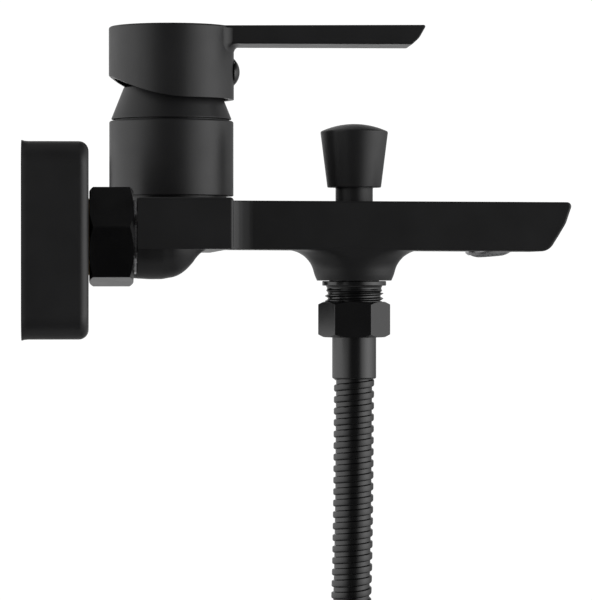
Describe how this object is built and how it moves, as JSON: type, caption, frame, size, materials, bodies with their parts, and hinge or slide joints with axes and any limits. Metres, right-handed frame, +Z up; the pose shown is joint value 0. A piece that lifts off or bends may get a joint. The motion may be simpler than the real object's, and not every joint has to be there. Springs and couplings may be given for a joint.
{
  "type": "wall mounted bath and shower mixer",
  "caption": "Wall mounted single-lever bath and shower mixer in satin black, with square rosettes, a flat spout, a pull-up diverter and a metal shower hose.",
  "frame": {"origin": "on the wall plane, midway between the two inlet axes", "axes": "+X away from the wall along the spout, +Y from the hot to the cold inlet, +Z up"},
  "size_m": [0.1916, 0.2148, 0.4321],
  "materials": {
    "satin_black": "satin black powder coat",
    "gloss_black": "glossy black plating",
    "hose_skin": "glossy black, spiral wound",
    "brass": "machined",
    "steel": "satin",
    "white_plastic": "moulded",
    "grey_plastic": "moulded",
    "ceramic": "lapped",
    "rubber": "moulded"
  },
  "bodies": {
    "fixed_mixer": {"mixer_body": "satin_black", "housing_sleeve": "satin_black", "cartridge_cover_ring": "satin_black", "diverter_bonnet": "satin_black", "hot_rosette": "satin_black", "cold_rosette": "satin_black", "shower_outlet_nipple": "gloss_black", "hose_ferrule": "gloss_black", "hose_end_ferrule": "gloss_black", "shower_hose": "hose_skin", "hose_coil": "hose_skin", "hose_tail": "hose_skin", "cartridge_retaining_nut": "brass", "hot_eccentric_union": "brass", "cold_eccentric_union": "brass", "diverter_spring": "steel", "check_valve_spring": "steel", "aerator_housing": "steel", "hot_union_tail": "steel", "cold_union_tail": "steel", "cartridge_base": "white_plastic", "cartridge_casing": "white_plastic", "check_valve_body": "white_plastic", "aerator_insert": "grey_plastic", "fixed_ceramic_disc": "ceramic", "hot_port_seal": "rubber", "cold_port_seal": "rubber", "mixed_port_seal": "rubber", "diverter_rod_seal": "rubber", "hose_washer": "rubber", "hose_end_washer": "rubber", "aerator_seal": "rubber", "hose_tie": "rubber", "hot_filter_washer": "rubber", "cold_filter_washer": "rubber"},
    "temperature_rotor": {"cartridge_rotor": "grey_plastic", "stem_pivot_pin": "steel"},
    "lever": {"lever_handle": "satin_black", "cartridge_stem": "brass", "lever_grub_screw": "steel", "index_plug": "gloss_black"},
    "ceramic_slide": {"moving_ceramic_disc": "ceramic", "disc_carrier": "grey_plastic"},
    "diverter": {"diverter_knob": "satin_black", "diverter_rod": "steel", "diverter_valve_washer": "brass", "diverter_valve_seal": "rubber", "diverter_lock_nut": "brass"},
    "check_poppet": {"check_valve_poppet": "grey_plastic"},
    "hot_nut": {"hot_union_nut": "gloss_black"},
    "cold_nut": {"cold_union_nut": "gloss_black"},
    "outlet_nut": {"hose_nut": "gloss_black"},
    "cone_nut": {"hose_cone_nut": "gloss_black"}
  },
  "joints": [
    {"name": "temperature_turn", "type": "hinge", "parent": "fixed_mixer", "child": "temperature_rotor", "pos_m": [0.051, 0, 0.04], "axis": [0, 0, 1], "range_deg": [-50, 50]},
    {"name": "lever_tilt", "type": "hinge", "parent": "temperature_rotor", "child": "lever", "pos_m": [0.051, 0, 0.04], "axis": [0, -1, 0], "range_deg": [0, 25]},
    {"name": "disc_slide", "type": "slide", "parent": "temperature_rotor", "child": "ceramic_slide", "axis": [1, 0, 0], "range_m": [0, 0.0048]},
    {"name": "diverter_lift", "type": "slide", "parent": "fixed_mixer", "child": "diverter", "axis": [0, 0, 1], "range_m": [0, 0.01], "stiffness_N_per_m": 150, "springref_m": -0.01, "deforming": ["diverter_spring"]},
    {"name": "check_poppet_open", "type": "slide", "parent": "fixed_mixer", "child": "check_poppet", "axis": [0, 0, -1], "range_m": [0, 0.0018], "stiffness_N_per_m": 60, "springref_m": -0.004, "deforming": ["check_valve_spring"]},
    {"name": "hot_nut_spin", "type": "hinge", "parent": "fixed_mixer", "child": "hot_nut", "pos_m": [0.029, -0.075, 0], "axis": [1, 0, 0], "continuous": true},
    {"name": "cold_nut_spin", "type": "hinge", "parent": "fixed_mixer", "child": "cold_nut", "pos_m": [0.029, 0.075, 0], "axis": [1, 0, 0], "continuous": true},
    {"name": "outlet_nut_spin", "type": "hinge", "parent": "fixed_mixer", "child": "outlet_nut", "pos_m": [0.116, 0, -0.0284], "axis": [0, 0, 1], "continuous": true},
    {"name": "cone_nut_spin", "type": "hinge", "parent": "fixed_mixer", "child": "cone_nut", "pos_m": [0.16528, -0.017, -0.3446], "axis": [0, 1, 0], "continuous": true}
  ],
  "couplings": [
    {"joint": "disc_slide", "follows": "lever_tilt", "m_per_rad": 0.01085}
  ]
}
